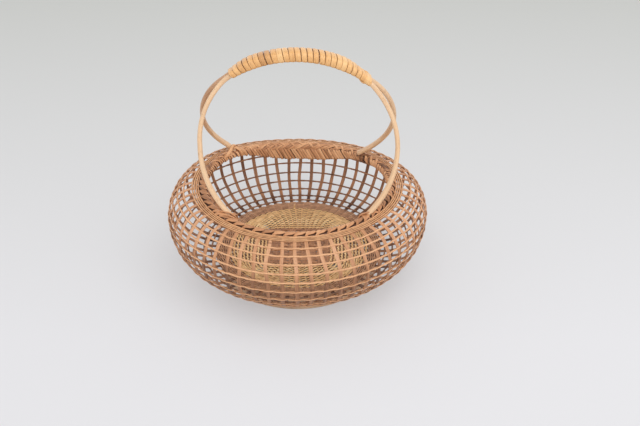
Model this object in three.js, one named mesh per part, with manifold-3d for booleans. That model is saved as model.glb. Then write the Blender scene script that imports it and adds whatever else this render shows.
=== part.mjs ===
// Bamboo hanging flower basket: an open-work round basket on a foot hoop, with a bound arch handle.
// Millimetres, +Z up. The origin is on the ground under the middle of the basket, the handle's arch
// spans along X, and the front is towards -Y.
import * as THREE from 'three';
import { mergeVertices } from 'three/addons/utils/BufferGeometryUtils.js';
import Module from 'manifold-3d';

const wasm = await Module();
wasm.setup();

// Clearance between pieces that touch
const gap = 0.3;

// Strips that cross under the base and rise as the wall's stakes
const strips = 15;
const stakeWidth = 3;
const stakeThickness = 1;
const matPitch = 4.9;
const stepRun = 5;

// The wall: the middle line of the stakes, which turns in over the shoulder to meet the rim
const baseRadius = 98.8;
const baseHeight = 22.8;
const bellyRadius = 154;
const bellyHeight = 79;
const shoulderHeight = 110.5;
const shoulderMargin = 2.8;

// An ellipse's exponent is 1, and a smaller one makes the wall below the belly fuller
const lowerExponent = 0.92;

// The mouth is drawn in a little from front to back, and dips there. At its back left it is pulled up
const mouthRatio = 0.92;
const saddleHeight = 2.4;
const liftHeight = 4.6;
const liftAngle = 145;
const liftSpan = 55;

// Thin hoops round the wall, by their angle on the wall's curve: -90 at the base, 0 at the belly
const hoopWidth = 1.2;
const hoopThickness = 1.4;
const lowerHoops = 7;
const lowerFirst = -82;
const lowerLast = -10;
const lowerSpread = 1.15;
const upperHoops = 5;
const upperFirst = 4;
const upperLast = 64;

// Twined rows on the shoulder, side by side outward from the braid
const rows = 3;
const rowWidth = 2.1;
const rowThickness = 1.8;

// The braided rim: a flat top and a lip that rolls down inside the mouth, deepest at the back
const rimInner = 107.3;
const rimWidth = 8.7;
const rimThickness = 3;
const lipThickness = 3.7;
const lipDrop = 7.5;
const backLipDrop = 20.8;
const backLipAngle = 88;
const backLipFull = 8;
const backLipSpan = 50;
const rimEdge = 1;

// The base: a dark dense band that ends just inside the turn, and the pale twined disc inside it
const discThickness = 1.6;
const turnMargin = 0.5;
const turnWidth = 12;
const turnThickness = 1.8;

// The foot: one wide hoop, set in from the turn
const footMargin = 2.5;
const footThickness = 3;

// The handle: two rods, side by side in the grip, that spread to four feet
const rodWidth = 8;
const rodThickness = 5.3;
const archRadius = 112;
const archHeight = 182.3;
const crownHeight = 93.5;
const tuckDepth = 4.3;
const endDrop = 2.5;
const crownStep = 9;

// Each foot: where it meets the rim, how far inside the braid's inner edge it stands, and how much
// wider than the arch its leg stands. The front left and back right legs end inside the mouth, the
// other two bed in the braid
const frontLeft = { angle: 225, inset: 5, offset: -4.9 };
const frontRight = { angle: 317, inset: 0.5, offset: 1.6 };
const backLeft = { angle: 129, inset: 0.5, offset: -0.3 };
const backRight = { angle: 51, inset: 5, offset: 2 };

// The grip: a splint on the rods, bound with one flat strip, and tied at its right end
const gripSteps = 5;
const splintWidth = 14;
const splintThickness = 2.4;
const wrapLoops = 24;
const wrapWidth = 5.3;
const wrapThickness = 1;
const wrapMargin = 5;
const bindingEdge = 2;
const tieMargin = 1.8;
const tieWidth = 4.6;
const tieThickness = 1.4;
const knotDepth = 1.2;

// A lashing of two turns at each foot of the handle
const lashTurns = 2;
const lashWidth = 2.2;
const lashThickness = 1.2;
const lashPitch = 3.7;
const lashRoom = 3;
const lashDepth = 7;

const stakeAngle = 360 / (4 * strips);
const ringSegments = 4 * strips;
const rimOuter = rimInner + rimWidth;
const lowerCurve = bellyRadius - baseRadius;
const shoulderCurve = bellyRadius - rimOuter - shoulderMargin;
const turnRadius = baseRadius - turnMargin;
const discRadius = turnRadius - turnWidth - gap;
const footRadius = baseRadius - footMargin;
const rimTop = shoulderHeight + stakeThickness / 2 + gap + rimThickness;
const tuckHeight = rimTop - tuckDepth;
const gripReach = gripSteps * crownStep;
const archTop = archHeight + crownHeight;
const crownSag = archRadius * (1 - Math.cos(radians(crownStep / 2)));

function radians(degrees) {
  return THREE.MathUtils.degToRad(degrees);
}

// Share of the way from the belly to the shoulder, eased at both ends
function mouthShare(height) {
  return THREE.MathUtils.smoothstep(height, bellyHeight, shoulderHeight);
}

// How near an angle lies to a middle one: 1 within the full reach of it and 0 outside the span
function nearness(angle, middle, full, span) {
  const away = Math.abs(THREE.MathUtils.euclideanModulo(angle - middle + 180, 360) - 180);
  return 1 - THREE.MathUtils.smoothstep(away, full, span);
}

// A point of the basket's body: above the belly the round plan becomes the oval, uneven mouth
function place(radius, angle, height, share = mouthShare(height)) {
  const a = radians(angle);
  const depth = 1 - (1 - mouthRatio) * share;
  const lift = liftHeight * nearness(angle, liftAngle, 0, liftSpan);
  const rise = share * (saddleHeight * Math.cos(2 * a) + lift);
  return new THREE.Vector3(radius * Math.cos(a), radius * Math.sin(a) * depth, height + rise);
}

// A point of the mouth, which keeps one plan at every height
function mouthPlace(radius, angle, height) {
  return place(radius, angle, height, 1);
}

// The wall's middle line in section, at an angle on its curve
function wallProfile(curveAngle) {
  const a = radians(curveAngle);
  const isLower = curveAngle < 0;
  const reach = isLower ? lowerCurve : shoulderCurve;
  const rise = isLower ? baseHeight - bellyHeight : shoulderHeight - bellyHeight;
  const exponent = isLower ? lowerExponent : 1;
  const across = Math.max(0, Math.cos(a)) ** exponent;
  const upward = Math.abs(Math.sin(a)) ** exponent;
  return new THREE.Vector2(bellyRadius - reach * (1 - across), bellyHeight + rise * upward);
}

function wallSpot(curveAngle, angle) {
  const spot = wallProfile(curveAngle);
  return place(spot.x, angle, spot.y);
}

// A point of the wall's middle surface with its outward normal and its upward direction
function wallFrame(curveAngle, angle) {
  const step = 0.5;
  const up = wallSpot(curveAngle + step, angle).sub(wallSpot(curveAngle - step, angle)).normalize();
  const round = wallSpot(curveAngle, angle + step).sub(wallSpot(curveAngle, angle - step)).normalize();
  const normal = new THREE.Vector3().crossVectors(round, up).normalize();
  return { point: wallSpot(curveAngle, angle), normal, up, round };
}

// A closed solid through rings of points: a closed loop of rings, or a run of them with flat ends
function skin(rings, isLoop) {
  const count = rings[0].length;
  const positions = rings.flat().flatMap((p) => [p.x, p.y, p.z]);
  const faces = [];
  const spans = isLoop ? rings.length : rings.length - 1;
  for (let i = 0; i < spans; i += 1) {
    const j = (i + 1) % rings.length;
    for (let k = 0; k < count; k += 1) {
      const next = (k + 1) % count;
      const a = i * count + k;
      const b = i * count + next;
      const c = j * count + next;
      const d = j * count + k;
      faces.push([a, b, c], [a, c, d]);
    }
  }
  if (!isLoop) {
    const last = (rings.length - 1) * count;
    for (let k = 1; k < count - 1; k += 1) {
      faces.push([0, k + 1, k], [last, last + k, last + k + 1]);
    }
  }
  const geometry = new THREE.BufferGeometry();
  geometry.setAttribute('position', new THREE.Float32BufferAttribute(positions, 3));
  const outward = signedVolume(positions, faces) > 0;
  const index = faces.flatMap(([a, b, c]) => (outward ? [a, b, c] : [a, c, b]));
  geometry.setIndex(index);
  geometry.computeVertexNormals();
  return geometry;
}

function signedVolume(positions, faces) {
  const at = (i) => new THREE.Vector3().fromArray(positions, 3 * i);
  return faces.reduce((sum, [a, b, c]) => sum + at(a).dot(at(b).cross(at(c))) / 6, 0);
}

// A ring round the basket from a section of radius and height
function plainRing(section, toPlace) {
  const rings = [];
  for (let i = 0; i < ringSegments; i += 1) {
    rings.push(section.map(([radius, height]) => toPlace(radius, i * stakeAngle, height)));
  }
  return skin(rings, true);
}

// A ring laid on the wall at a distance out from the stakes' middle. Its corners fall midway
// between stakes, two stakes to a side, so it is widened until its flats clear the stakes
function wallRing(curveAngle, distance, width, thickness) {
  const segments = ringSegments / 2;
  const widen = Math.cos(Math.PI / ringSegments) / Math.cos(Math.PI / segments);
  const corners = [[-1, -1], [1, -1], [1, 1], [-1, 1]];
  const rings = [];
  for (let i = 0; i < segments; i += 1) {
    const { point, normal, up } = wallFrame(curveAngle, stakeAngle * (2 * i + 0.5));
    rings.push(corners.map(([u, v]) => {
      const p = point.clone().addScaledVector(up, (u * width) / 2);
      p.addScaledVector(normal, distance + (v * thickness) / 2);
      p.x *= widen;
      p.y *= widen;
      return p;
    }));
  }
  return skin(rings, true);
}

// Curve angles of the hoops: the lower ones stand further apart towards the belly
function hoopAngles() {
  const angles = [];
  for (let i = 0; i < lowerHoops; i += 1) {
    const share = (i / (lowerHoops - 1)) ** lowerSpread;
    angles.push(lowerFirst + (lowerLast - lowerFirst) * share);
  }
  for (let i = 0; i < upperHoops; i += 1) {
    angles.push(upperFirst + ((upperLast - upperFirst) * i) / (upperHoops - 1));
  }
  return angles;
}

// Hoops lie outside and inside the stakes by turns
function hoop(curveAngle, isOutside) {
  const offset = stakeThickness / 2 + gap + hoopThickness / 2;
  return wallRing(curveAngle, isOutside ? offset : -offset, hoopWidth, hoopThickness);
}

// One station of a stake: its section's four corners
function stakeStation(centre, across, out) {
  const corners = [[-1, -1], [1, -1], [1, 1], [-1, 1]];
  return corners.map(([u, v]) => {
    const p = centre.clone();
    p.addScaledVector(across, (u * stakeWidth) / 2);
    return p.addScaledVector(out, (v * stakeThickness) / 2);
  });
}

// The stations of a stake up one side of the wall, from the base's edge to its end under the rim
function wallStations(angle) {
  const a = radians(angle);
  const lastHoop = hoopAngles().at(-1);
  const bends = [-90, ...hoopAngles(), (lastHoop + 90) / 2, 90];
  const stations = bends.map((curveAngle) => {
    const { point, normal, round } = wallFrame(curveAngle, angle);
    return stakeStation(point, round, normal);
  });
  const end = mouthPlace(rimInner + lipThickness + gap, angle, shoulderHeight);
  const across = new THREE.Vector3(-Math.sin(a), Math.cos(a), 0);
  return [...stations, stakeStation(end, across, new THREE.Vector3(0, 0, 1))];
}

// A strip from rim to rim. The lower layer runs along X, the upper layer crosses over it along Y
// and steps down to the lower layer's level once past the crossing
function stake(index, isUpper) {
  const turn = isUpper ? 90 : 0;
  const fan = index * stakeAngle * (isUpper ? -1 : 1);
  const far = wallStations(turn + fan);
  const near = wallStations(turn + 180 - fan).reverse();
  const along = new THREE.Vector3(Math.cos(radians(turn)), Math.sin(radians(turn)), 0);
  const side = new THREE.Vector3(isUpper ? 1 : 0, isUpper ? 0 : 1, 0);
  const edge = ((strips - 1) / 2) * matPitch + stakeWidth;
  const crossing = baseHeight + (isUpper ? stakeThickness + gap : 0);
  const matStation = (distance, height) => {
    const centre = side.clone().multiplyScalar(index * matPitch);
    centre.addScaledVector(along, distance);
    centre.z = height;
    const across = new THREE.Vector3(-along.y, along.x, 0);
    return stakeStation(centre, across, new THREE.Vector3(0, 0, -1));
  };
  const mat = [matStation(-edge, crossing), matStation(edge, crossing)];
  if (isUpper) {
    mat.unshift(matStation(-edge - stepRun, baseHeight));
    mat.push(matStation(edge + stepRun, baseHeight));
  }
  const nearFlipped = near.map(([a, b, c, d]) => [b, a, d, c]);
  return skin([...nearFlipped, ...mat, ...far], false);
}

// The pale twined disc, open in the middle where the crossing strips show
function baseDisc() {
  const open = ((strips - 1) / 2) * matPitch + stakeWidth + stepRun;
  const outline = new THREE.Shape();
  outline.absarc(0, 0, discRadius, 0, 2 * Math.PI);
  const hole = new THREE.Path();
  hole.moveTo(-open, -open).lineTo(-open, open).lineTo(open, open).lineTo(open, -open).closePath();
  outline.holes.push(hole);
  const options = { depth: discThickness, bevelEnabled: false, curveSegments: ringSegments };
  const geometry = new THREE.ExtrudeGeometry(outline, options);
  return geometry.translate(0, 0, baseHeight + stakeThickness / 2 + gap);
}

// The dense band at the turn, on top of the strips between the disc and the wall
function turnBand() {
  const low = baseHeight + stakeThickness / 2 + gap;
  const high = low + turnThickness;
  const inner = turnRadius - turnWidth;
  return plainRing([[inner, low], [turnRadius, low], [turnRadius, high], [inner, high]], place);
}

function footRing() {
  const top = baseHeight - stakeThickness / 2 - gap;
  const inner = footRadius - footThickness;
  return plainRing([[inner, 0], [footRadius, 0], [footRadius, top], [inner, top]], place);
}

// A twined row on top of the stakes, counted outward from the braid and the lashings round it
function shoulderRow(index) {
  const first = rimOuter + lashThickness + 3 * gap + rowWidth / 2;
  const radius = first + index * (rowWidth + gap);
  const curveAngle = THREE.MathUtils.radToDeg(Math.acos(1 - (bellyRadius - radius) / shoulderCurve));
  const distance = stakeThickness / 2 + gap + rowThickness / 2;
  return wallRing(curveAngle, distance, rowWidth, rowThickness);
}

// The height of the lip's lower edge
function lipBottom(angle) {
  const share = nearness(angle, backLipAngle, backLipFull, backLipSpan);
  return rimTop - lipDrop - (backLipDrop - lipDrop) * share;
}

function rimBraid() {
  const under = rimTop - rimThickness;
  const back = rimInner + lipThickness;
  const rings = [];
  for (let i = 0; i < ringSegments; i += 1) {
    const angle = i * stakeAngle;
    const low = lipBottom(angle);
    const section = [
      [rimInner, low + rimEdge], [rimInner + rimEdge, low], [back, low],
      [back, under], [rimOuter, under], [rimOuter, rimTop - rimEdge],
      [rimOuter - rimEdge, rimTop], [rimInner + rimEdge, rimTop], [rimInner, rimTop - rimEdge],
    ];
    rings.push(section.map(([radius, height]) => mouthPlace(radius, angle, height)));
  }
  return skin(rings, true);
}

// Where the rods leave the grip and start to spread
const spreadHeight = archHeight + crownHeight * Math.cos(radians(gripReach));

// Where a leg meets the rim
function tuckOf(foot) {
  return mouthPlace(rimInner - foot.inset, foot.angle, tuckHeight);
}

// The arch above its widest height is half an ellipse. Below it each leg curves in to its foot
function legPoint(foot, isRight, height) {
  const tuck = tuckOf(foot);
  const drop = THREE.MathUtils.clamp((spreadHeight - height) / (spreadHeight - archHeight), 0, 1);
  const reach = archRadius + foot.offset * drop;
  const turn = Math.acos(Math.abs(tuck.x) / reach);
  const rise = height > archHeight ? crownHeight : (archHeight - tuck.z) / Math.sin(turn);
  const x = reach * Math.sqrt(Math.max(0, 1 - ((height - archHeight) / rise) ** 2));
  const half = (rodWidth + gap) / 2;
  const spread = Math.max(0, spreadHeight - height) / (spreadHeight - tuck.z);
  const y = half + (Math.abs(tuck.y) - half) * spread;
  return new THREE.Vector3(isRight ? x : -x, Math.sign(tuck.y) * y, height);
}

// Heights down a leg, from the crown to its end
function legHeights(foot) {
  const heights = [];
  for (let turn = crownStep; turn <= 90; turn += crownStep) {
    heights.push(archHeight + crownHeight * Math.cos(radians(turn)));
  }
  const legSteps = 7;
  const end = tuckOf(foot).z - endDrop;
  for (let i = 1; i <= legSteps; i += 1) {
    heights.push(archHeight - ((archHeight - end) * i) / legSteps);
  }
  return heights;
}

function rodPath(leftFoot, rightFoot) {
  const left = legHeights(leftFoot).map((height) => legPoint(leftFoot, false, height)).reverse();
  const right = legHeights(rightFoot).map((height) => legPoint(rightFoot, true, height));
  const crown = legPoint(leftFoot, false, archTop);
  crown.x = 0;
  return [...left, crown, ...right];
}

// A flat oval rod along a path. Its wide side lies across the arch
function rod(path, grow) {
  const sides = 8;
  const rings = path.map((centre, i) => {
    const before = path[Math.max(0, i - 1)];
    const after = path[Math.min(path.length - 1, i + 1)];
    const along = after.clone().sub(before).normalize();
    const across = new THREE.Vector3(0, 1, 0).addScaledVector(along, -along.y).normalize();
    const out = new THREE.Vector3().crossVectors(along, across);
    const ring = [];
    for (let k = 0; k < sides; k += 1) {
      const a = (2 * Math.PI * (k + 0.5)) / sides;
      const stretch = 1 / Math.cos(Math.PI / sides);
      const p = centre.clone();
      p.addScaledVector(across, Math.cos(a) * stretch * (rodWidth / 2 + grow));
      p.addScaledVector(out, Math.sin(a) * stretch * (rodThickness / 2 + grow));
      ring.push(p);
    }
    return ring;
  });
  return skin(rings, false);
}

// A point of the grip's middle line, its tangent and its outward normal
function gripFrame(angle) {
  const a = radians(angle);
  const centre = new THREE.Vector3(archRadius * Math.sin(a), 0, archHeight + crownHeight * Math.cos(a));
  const along = new THREE.Vector3(archRadius * Math.cos(a), 0, -crownHeight * Math.sin(a)).normalize();
  const out = new THREE.Vector3(-along.z, 0, along.x);
  return { centre, along, out };
}

// A run along the grip with a rectangular section, between two angles from the crown
function gripStrip(fromAngle, toAngle, width, low, high) {
  const steps = 12;
  const rings = [];
  for (let i = 0; i <= steps; i += 1) {
    const { centre, out } = gripFrame(fromAngle + ((toAngle - fromAngle) * i) / steps);
    const corners = [[-1, low], [1, low], [1, high], [-1, high]];
    rings.push(corners.map(([u, v]) => {
      const p = centre.clone().addScaledVector(out, v);
      p.y += (u * width) / 2;
      return p;
    }));
  }
  return skin(rings, false);
}

// Outline of the bound rods and splint, as a rounded rectangle seen along the grip
function bindingOutline(clear) {
  const halfWidth = rodWidth + gap / 2 + clear;
  const low = -rodThickness / 2 - clear;
  const high = rodThickness / 2 + gap + splintThickness + clear;
  const points = [[0, low]];
  const corners = [[1, low, -90], [1, high, 0], [-1, high, 90], [-1, low, 180]];
  corners.forEach(([side, height, start], i) => {
    const centre = [side * (halfWidth - bindingEdge), height - Math.sign(height) * bindingEdge];
    [0, 90].forEach((turn) => {
      const a = radians(start + turn);
      points.push([centre[0] + bindingEdge * Math.cos(a), centre[1] + bindingEdge * Math.sin(a)]);
    });
    if (i === 1) points.push([0, high]);
  });
  return points.map(([x, y]) => new THREE.Vector2(x, y));
}

// A flat strip's six-sided section, square to its run
function stripStation(centre, along, out, width, thickness) {
  const across = new THREE.Vector3().crossVectors(out, along).normalize();
  const edge = thickness / 2;
  const w = width / 2;
  const face = w - edge;
  const section = [[-w, 0], [-face, -edge], [face, -edge], [w, 0], [face, edge], [-face, edge]];
  return section.map(([u, v]) => {
    const p = centre.clone().addScaledVector(across, u);
    return p.addScaledVector(out, v);
  });
}

// One unbroken strip wound in loops. pointAt(share of a loop, loops so far) gives its middle line,
// and outAt the side away from what it binds
function winding(count, outline, pointAt, outAt, width, thickness) {
  const steps = outline.length;
  const centres = [];
  const outs = [];
  for (let i = 0; i <= count * steps; i += 1) {
    centres.push(pointAt(outline[i % steps], i / steps));
    outs.push(outAt(outline, i % steps, i / steps));
  }
  const rings = centres.map((centre, i) => {
    const before = centres[Math.max(0, i - 1)];
    const after = centres[Math.min(centres.length - 1, i + 1)];
    const along = after.clone().sub(before).normalize();
    const out = outs[i].clone().addScaledVector(along, -outs[i].dot(along)).normalize();
    return stripStation(centre, along, out, width, thickness);
  });
  return { geometry: skin(rings, false), centres, steps };
}

// Outward direction of a convex outline at one of its points
function outlineNormal(outline, k) {
  const before = outline[(k + outline.length - 1) % outline.length];
  const after = outline[(k + 1) % outline.length];
  return new THREE.Vector2(after.y - before.y, before.x - after.x).normalize();
}

// The strip's least clear distance to itself, between points at least half a loop apart
function leastSelfGap({ centres, steps }, width) {
  let least = Infinity;
  for (let i = 0; i < centres.length; i += 1) {
    for (let j = i + Math.ceil(steps / 2); j < centres.length; j += 1) {
      least = Math.min(least, centres[i].distanceTo(centres[j]));
    }
  }
  return least - width;
}

function gripWrap() {
  const outline = bindingOutline(gap + crownSag + wrapThickness / 2);
  const half = gripReach - wrapMargin;
  const angleAt = (loops) => -half + (2 * half * loops) / wrapLoops;
  const pointAt = (p, loops) => {
    const { centre, out } = gripFrame(angleAt(loops));
    centre.addScaledVector(out, p.y);
    centre.y += p.x;
    return centre;
  };
  const outAt = (points, k, loops) => {
    const normal = outlineNormal(points, k);
    const { out } = gripFrame(angleAt(loops));
    const direction = out.clone().multiplyScalar(normal.y);
    direction.y += normal.x;
    return direction;
  };
  return winding(wrapLoops, outline, pointAt, outAt, wrapWidth, wrapThickness);
}

// The tie that finishes the binding at the grip's right end: a closed band round both rods, thicker
// on the underside where its knot lies
function gripTie() {
  const { centre, along, out } = gripFrame(gripReach - tieMargin);
  const inner = gap + crownSag;
  const loops = [bindingOutline(inner), bindingOutline(inner + tieThickness)];
  const rings = loops.flatMap((outline, i) => {
    const ends = i === 0 ? [-1, 1] : [1, -1];
    return ends.map((end) => outline.map((p) => {
      const q = centre.clone().addScaledVector(along, (end * tieWidth) / 2);
      const isKnot = i === 1 && p.y < 0;
      q.addScaledVector(out, isKnot ? p.y - knotDepth : p.y);
      q.y += p.x;
      return q;
    }));
  });
  return skin(rings, true);
}

// How far a leg leans along the rim for each millimetre it rises at its foot
function leanOf(foot) {
  const a = radians(foot.angle);
  const isRight = Math.cos(a) > 0;
  const rise = rodWidth / 2;
  const low = tuckOf(foot).z;
  const run = legPoint(foot, isRight, low + rise).sub(legPoint(foot, isRight, low));
  return (run.y * Math.cos(a) - run.x * Math.sin(a)) / rise;
}

// A lashing's outline round the braid and the leg's end, as radius and height
function lashOutline(foot) {
  const clear = gap + lashThickness / 2;
  const inner = rimInner - foot.inset - rodWidth / 2 - lashRoom;
  const outer = rimOuter + clear;
  const low = Math.min(lipBottom(foot.angle) - clear, tuckHeight - lashDepth);
  const top = rimTop + clear;
  const back = rimInner + lipThickness + clear;
  return [
    [rimInner + rimEdge, low], [back, low], [back + 2 * rimEdge, low + 3 * rimEdge],
    [outer, shoulderHeight], [outer, top - rimEdge], [outer - rimEdge, top],
    [rimInner, top], [inner + rimEdge, top - rimEdge], [inner, tuckHeight],
    [inner, low + 2 * rimEdge], [(inner + rimInner) / 2, low],
  ].map(([x, y]) => new THREE.Vector2(x, y));
}

// Its turns pass between two stakes. They lie square to the leg, so they lean the other way
function lashing(foot) {
  const outline = lashOutline(foot);
  const lashAngle = (Math.round(foot.angle / stakeAngle - 0.5) + 0.5) * stakeAngle;
  const a = radians(lashAngle);
  const sideways = new THREE.Vector3(-Math.sin(a), Math.cos(a), 0);
  const lean = -1 / leanOf(foot);
  const pointAt = (p, loops) => {
    const spot = mouthPlace(p.x, lashAngle, p.y);
    const side = lean * (p.y - tuckHeight) + lashPitch * (loops - lashTurns / 2 + 0.25);
    return spot.addScaledVector(sideways, side);
  };
  const outAt = (points, k) => {
    const normal = outlineNormal(points, k);
    return new THREE.Vector3(normal.x * Math.cos(a), normal.x * Math.sin(a), normal.y);
  };
  return winding(lashTurns, outline, pointAt, outAt, lashWidth, lashThickness);
}

function toSolid(geometry) {
  const bare = geometry.clone();
  bare.deleteAttribute('normal');
  bare.deleteAttribute('uv');
  const merged = mergeVertices(bare, 1e-4);
  return new wasm.Manifold(new wasm.Mesh({
    numProp: 3,
    vertProperties: new Float32Array(merged.attributes.position.array),
    triVerts: new Uint32Array(merged.index.array),
  }));
}

function fromSolid(solid) {
  const mesh = solid.getMesh();
  const geometry = new THREE.BufferGeometry();
  geometry.setAttribute('position', new THREE.BufferAttribute(mesh.vertProperties, 3));
  geometry.setIndex(new THREE.BufferAttribute(mesh.triVerts, 1));
  geometry.computeVertexNormals();
  return geometry;
}

// The braid, with a bed for each leg of the handle where it passes over the inner edge
function beddedRim(paths) {
  return fromSolid(paths.reduce((rim, path) => rim.subtract(toSolid(rod(path, gap))), toSolid(rimBraid())));
}

const finish = (color) => new THREE.MeshStandardMaterial({ color, roughness: 0.6, metalness: 0 });
const stakeFinish = finish(0xb98258);
const hoopFinish = finish(0xa8734a);
const braidFinish = finish(0xa86a38);
const discFinish = finish(0xc9974f);
const turnFinish = finish(0x8a5530);
const rodFinish = finish(0xcf9c6a);
const wrapFinish = finish(0xd9aa62);
const footFinish = finish(0xc9a27a);

const basket = new THREE.Group();

function add(name, geometry, material) {
  const mesh = new THREE.Mesh(geometry, material.clone());
  mesh.name = name;
  basket.add(mesh);
}

add('foot_ring', footRing(), footFinish);
add('base_disc', baseDisc(), discFinish);
add('turn_band', turnBand(), turnFinish);

for (let i = 0; i < strips; i += 1) {
  const number = String(i + 1).padStart(2, '0');
  add(`stake_lower_${number}`, stake(i - (strips - 1) / 2, false), stakeFinish);
  add(`stake_upper_${number}`, stake(i - (strips - 1) / 2, true), stakeFinish);
}

hoopAngles().forEach((curveAngle, i) => {
  const number = String(i + 1).padStart(2, '0');
  add(`hoop_${number}`, hoop(curveAngle, i % 2 === 0), hoopFinish);
});

for (let i = 0; i < rows; i += 1) {
  add(`shoulder_row_${i + 1}`, shoulderRow(i), braidFinish);
}

const frontPath = rodPath(frontLeft, frontRight);
const backPath = rodPath(backLeft, backRight);
add('rim_braid', beddedRim([frontPath, backPath]), braidFinish);
add('handle_rod_front', rod(frontPath, 0), rodFinish);
add('handle_rod_back', rod(backPath, 0), rodFinish);

const splintLow = rodThickness / 2 + gap;
const splintHigh = splintLow + splintThickness;
add('grip_splint', gripStrip(-gripReach, gripReach, splintWidth, splintLow, splintHigh), rodFinish);

const wrap = gripWrap();
add('grip_wrap', wrap.geometry, wrapFinish);
add('grip_tie', gripTie(), wrapFinish);
console.log(`grip wrap: least gap to itself ${leastSelfGap(wrap, wrapWidth).toFixed(2)} mm`);

const feet = { front_left: frontLeft, front_right: frontRight, back_left: backLeft, back_right: backRight };
Object.entries(feet).forEach(([corner, foot]) => {
  const lash = lashing(foot);
  add(`lashing_${corner}`, lash.geometry, wrapFinish);
  console.log(`lashing ${corner}: least gap to itself ${leastSelfGap(lash, lashWidth).toFixed(2)} mm`);
});

export default basket;
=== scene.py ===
import math

import bpy
import numpy as np
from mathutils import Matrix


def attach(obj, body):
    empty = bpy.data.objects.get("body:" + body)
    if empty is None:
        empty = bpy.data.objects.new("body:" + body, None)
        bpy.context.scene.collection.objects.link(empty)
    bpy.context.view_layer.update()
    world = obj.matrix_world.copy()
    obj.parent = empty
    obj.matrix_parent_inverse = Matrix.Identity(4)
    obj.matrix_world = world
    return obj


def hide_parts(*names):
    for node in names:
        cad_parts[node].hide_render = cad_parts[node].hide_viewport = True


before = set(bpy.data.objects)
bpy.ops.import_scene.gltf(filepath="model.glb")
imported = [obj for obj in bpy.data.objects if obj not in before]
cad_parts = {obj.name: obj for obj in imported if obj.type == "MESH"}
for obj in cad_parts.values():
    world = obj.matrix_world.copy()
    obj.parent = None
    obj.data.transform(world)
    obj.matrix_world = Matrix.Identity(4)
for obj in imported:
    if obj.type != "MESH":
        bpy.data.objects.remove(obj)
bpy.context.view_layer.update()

MM = 0.001

# Sizes in millimetres. Most repeat the CAD's own, because every woven piece lies where its solid does.
# The stakes are wider than their solids, and their curve below the belly is a little less full
STAKES = 60
STEP = 360 / STAKES
STRIPS = 15
STAKE_W, STAKE_T = 3.8, 1.0
MAT_PITCH = 4.9

BASE_R, BASE_H = 98.8, 22.8
BELLY_R, BELLY_H = 154.0, 79.0
SHOULDER_R, SHOULDER_H = 118.8, 110.5
# An ellipse's exponent is 1, and a smaller one makes the wall below the belly fuller
LOWER_EXPONENT = 0.96

# The uneven mouth: an oval that dips at its front and back and is pulled up at its back left
MOUTH_RATIO, SADDLE = 0.92, 2.4
LIFT_H, LIFT_ANGLE, LIFT_SPAN = 4.6, 145, 55

# The rim's lip, deepest at the back
RIM_IN, RIM_TOP = 107.3, 114.3
LIP_DROP, BACK_LIP_DROP = 7.5, 20.8
BACK_LIP_ANGLE, BACK_LIP_FULL, BACK_LIP_SPAN = 88, 8, 50

DISC_R = 86.0
FOOT_R, FOOT_H = 96.3, 22.0

# The handle: its arch, the height of its feet, its rods, and the angle at which they part below the grip
ARCH_R, ARCH_H, CROWN_H = 112.0, 182.3, 93.5
TUCK_H = 110.0
ROD_W, ROD_T = 8.0, 5.3
GRIP_REACH = 45.0

# Each foot of the handle: its angle round the mouth, its radius, how far its leg stands out, the height
# at which the rod is cut, and how far its end dives into the braid
FEET = {
    "front_left": (225.0, 102.3, -4.9, 110.5, 0.0),
    "front_right": (317.0, 106.8, 1.6, 111.0, 0.0),
    "back_left": (129.0, 106.8, -0.3, 121.5, 2.0),
    "back_right": (51.0, 102.3, 2.0, 115.5, 0.0),
}

# The open rows, as angles on the wall's curve, and the radii of the close rows on the shoulder
LOWER_ROWS = [-82 + 72 * (k / 6) ** 1.15 for k in range(7)]
UPPER_ROWS = [4 + 60 * k / 4 for k in range(5)]
SHOULDER_ROWS = [119.15, 121.55, 123.95]

rng = np.random.default_rng(11)


def smoothstep(x, low, high):
    """0 up to low, 1 from high on, and a smooth way between them."""
    t = np.clip((x - low) / (high - low), 0, 1)
    return t * t * (3 - 2 * t)


def soft_ramp(x, soft=0.06):
    """Zero below zero and x above it, with a soft corner."""
    return np.where(x > soft, x - soft / 2, np.where(x > 0, x * x / (2 * soft), 0))


def unit(v):
    """The vectors, each made 1 long."""
    return v / np.maximum(np.linalg.norm(v, axis=-1, keepdims=True), 1e-9)


def wobble(count, waves, size, closed=True):
    """A smooth random line of the given size, which joins up with itself when it is closed."""
    t = np.linspace(0, 2 * math.pi, count, endpoint=not closed)
    line = np.zeros(count)
    for k in range(1, waves + 1):
        line += rng.normal() * np.cos(k * t) + rng.normal() * np.sin(k * t)
    return size * line / math.sqrt(waves)


# The basket's body
def nearness(angle, middle, full, span):
    """How near an angle lies to a middle one: 1 within the full reach of it, 0 outside the span."""
    away = np.abs((np.asarray(angle, float) - middle + 180) % 360 - 180)
    return 1 - smoothstep(away, full, span)


def place(radius, angle, height, share=None):
    """A point of the body: above the belly the round plan becomes the oval, uneven mouth."""
    radius, angle, height = np.broadcast_arrays(*map(np.asarray, (radius, angle, height)))
    if share is None:
        share = smoothstep(height, BELLY_H, SHOULDER_H)
    a = np.radians(angle)
    depth = 1 - (1 - MOUTH_RATIO) * share
    rise = share * (SADDLE * np.cos(2 * a) + LIFT_H * nearness(angle, LIFT_ANGLE, 0, LIFT_SPAN))
    return np.stack([radius * np.cos(a), radius * np.sin(a) * depth, height + rise], -1)


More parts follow.
